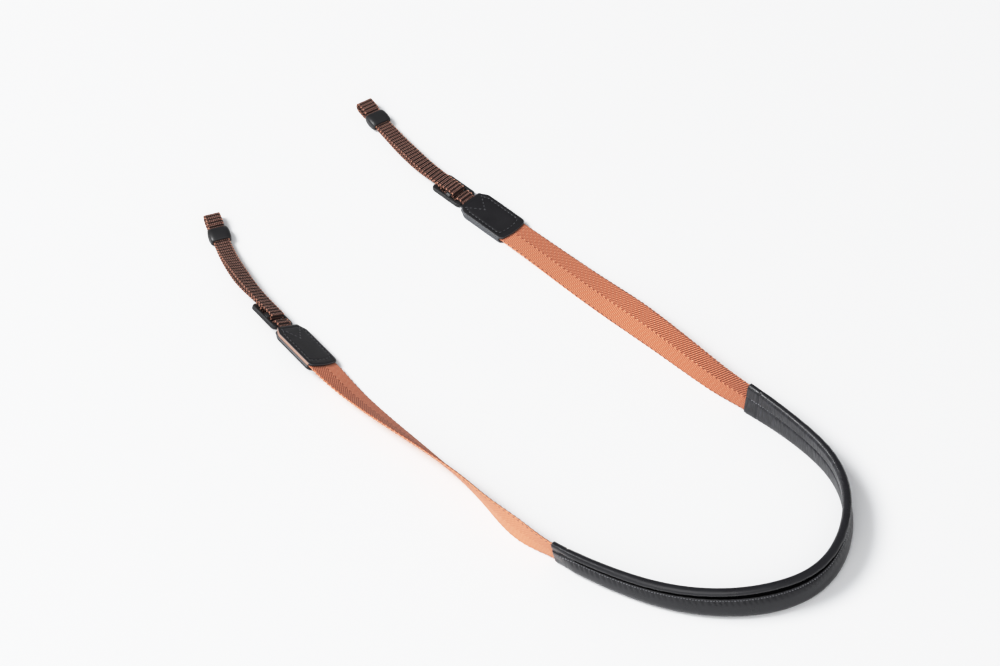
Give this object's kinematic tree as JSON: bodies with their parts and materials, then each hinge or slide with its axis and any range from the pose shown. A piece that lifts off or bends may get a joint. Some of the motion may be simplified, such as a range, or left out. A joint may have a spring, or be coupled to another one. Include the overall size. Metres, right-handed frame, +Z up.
{
  "type": "camera neck strap",
  "caption": "Camera neck strap lying in an open loop: padded leather shoulder band, wide woven webbing, leather tabs, and narrow ends doubled through sliders and keepers to ring loops.",
  "frame": {"origin": "middle of the strap's own outline on the surface that it lies on", "axes": "+Z up from that surface, -Y towards the bend of the padded band, +Y towards the two free ends, -X the left side of the strap"},
  "size_m": [0.1864, 0.4712, 0.0224],
  "materials": {
    "leather": "smooth black leather with a fine grain and painted edges",
    "wide_webbing": "copper-orange herringbone twill",
    "narrow_webbing": "dark brown ribbed tape with copper dots",
    "moulded_plastic": "moulded, satin black"
  },
  "bodies": {
    "root": {"shoulder_pad": "leather", "wide_webbing_left": "wide_webbing", "wide_webbing_right": "wide_webbing", "narrow_webbing_left": "narrow_webbing", "narrow_webbing_right": "narrow_webbing", "tab_top_left": "leather", "tab_top_right": "leather", "tab_bottom_left": "leather", "tab_bottom_right": "leather", "slider_left": "moulded_plastic", "slider_right": "moulded_plastic", "keeper_left": "moulded_plastic", "keeper_right": "moulded_plastic"}
  },
  "joints": []
}
